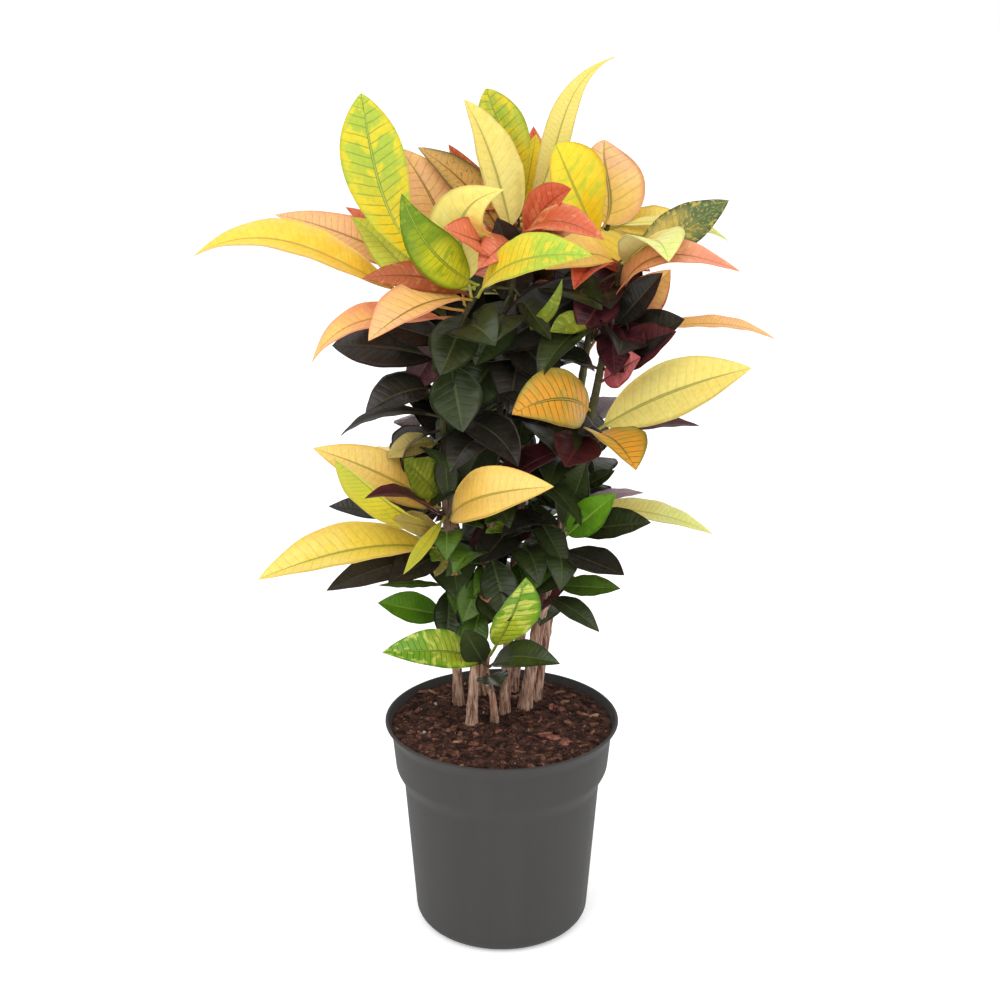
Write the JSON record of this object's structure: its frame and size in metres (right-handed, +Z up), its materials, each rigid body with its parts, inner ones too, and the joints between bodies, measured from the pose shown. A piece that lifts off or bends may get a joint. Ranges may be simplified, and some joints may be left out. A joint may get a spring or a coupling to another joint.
{
  "type": "potted croton",
  "caption": "Bushy potted croton: woody stems in bark soil in a round tapered nursery pot, with dark inner leaves and lime, yellow, peach and coral variegated crown leaves.",
  "frame": {"origin": "centre of the pot's flat underside", "axes": "+Z up along the pot's axis, -Y towards the plant's front, +X to the right seen from the front"},
  "size_m": [0.4775, 0.3451, 0.7674],
  "materials": {
    "pot_plastic": "matte moulded dark grey polypropylene",
    "bark_soil": "dark peat with bark chips, fully matte",
    "woody_bark": "tan flaky bark with long cracks",
    "leaf_lime": "waxy leaf, lime with darker green veins",
    "leaf_yellow": "waxy leaf, golden yellow with an olive midrib",
    "leaf_amber": "waxy leaf, amber with dark green veins and edge",
    "leaf_peach": "waxy leaf, peach to orange with an olive midrib",
    "leaf_coral": "waxy leaf, coral red with dark veins",
    "leaf_green": "glossy green leaf",
    "leaf_dark": "glossy leaf, near-black green",
    "leaf_maroon": "glossy leaf, dark maroon"
  },
  "bodies": {
    "root": {"pot": "pot_plastic", "soil": "bark_soil", "stem_left": "woody_bark", "stem_front": "woody_bark", "stem_middle": "woody_bark", "stem_right": "woody_bark", "stem_back_right": "woody_bark", "stem_back_left": "woody_bark", "stem_back": "woody_bark", "stem_shoot": "woody_bark", "leaf_left_1": "leaf_lime", "leaf_left_2": "leaf_yellow", "leaf_left_3": "leaf_green", "leaf_left_4": "leaf_peach", "leaf_left_5": "leaf_lime", "leaf_left_6": "leaf_peach", "leaf_left_7": "leaf_peach", "leaf_left_8": "leaf_dark", "leaf_left_9": "leaf_dark", "leaf_left_10": "leaf_yellow", "leaf_left_11": "leaf_lime", "leaf_left_12": "leaf_yellow", "leaf_left_13": "leaf_green", "leaf_left_14": "leaf_yellow", "leaf_left_15": "leaf_yellow", "leaf_front_1": "leaf_amber", "leaf_front_2": "leaf_yellow", "leaf_front_3": "leaf_coral", "leaf_front_4": "leaf_dark", "leaf_middle_1": "leaf_lime", "leaf_middle_2": "leaf_yellow", "leaf_right_1": "leaf_dark", "leaf_right_2": "leaf_coral", "leaf_right_3": "leaf_dark", "leaf_right_4": "leaf_peach", "leaf_right_5": "leaf_yellow", "leaf_right_6": "leaf_amber", "leaf_right_7": "leaf_amber", "leaf_right_8": "leaf_green", "leaf_right_9": "leaf_dark", "leaf_right_10": "leaf_dark", "leaf_back_right_1": "leaf_yellow", "leaf_back_right_2": "leaf_peach", "leaf_back_right_3": "leaf_lime", "leaf_back_right_4": "leaf_coral", "leaf_back_right_5": "leaf_maroon", "leaf_back_left_1": "leaf_lime", "leaf_back_left_2": "leaf_peach", "leaf_back_left_3": "leaf_dark", "leaf_back_left_4": "leaf_yellow", "leaf_back_left_5": "leaf_green", "leaf_back_1": "leaf_coral", "leaf_back_2": "leaf_yellow", "leaf_back_3": "leaf_peach", "leaf_back_4": "leaf_dark", "leaf_back_5": "leaf_green", "leaf_back_6": "leaf_dark", "leaf_shoot_1": "leaf_lime", "leaf_shoot_2": "leaf_lime", "leaf_shoot_3": "leaf_dark"}
  },
  "joints": []
}
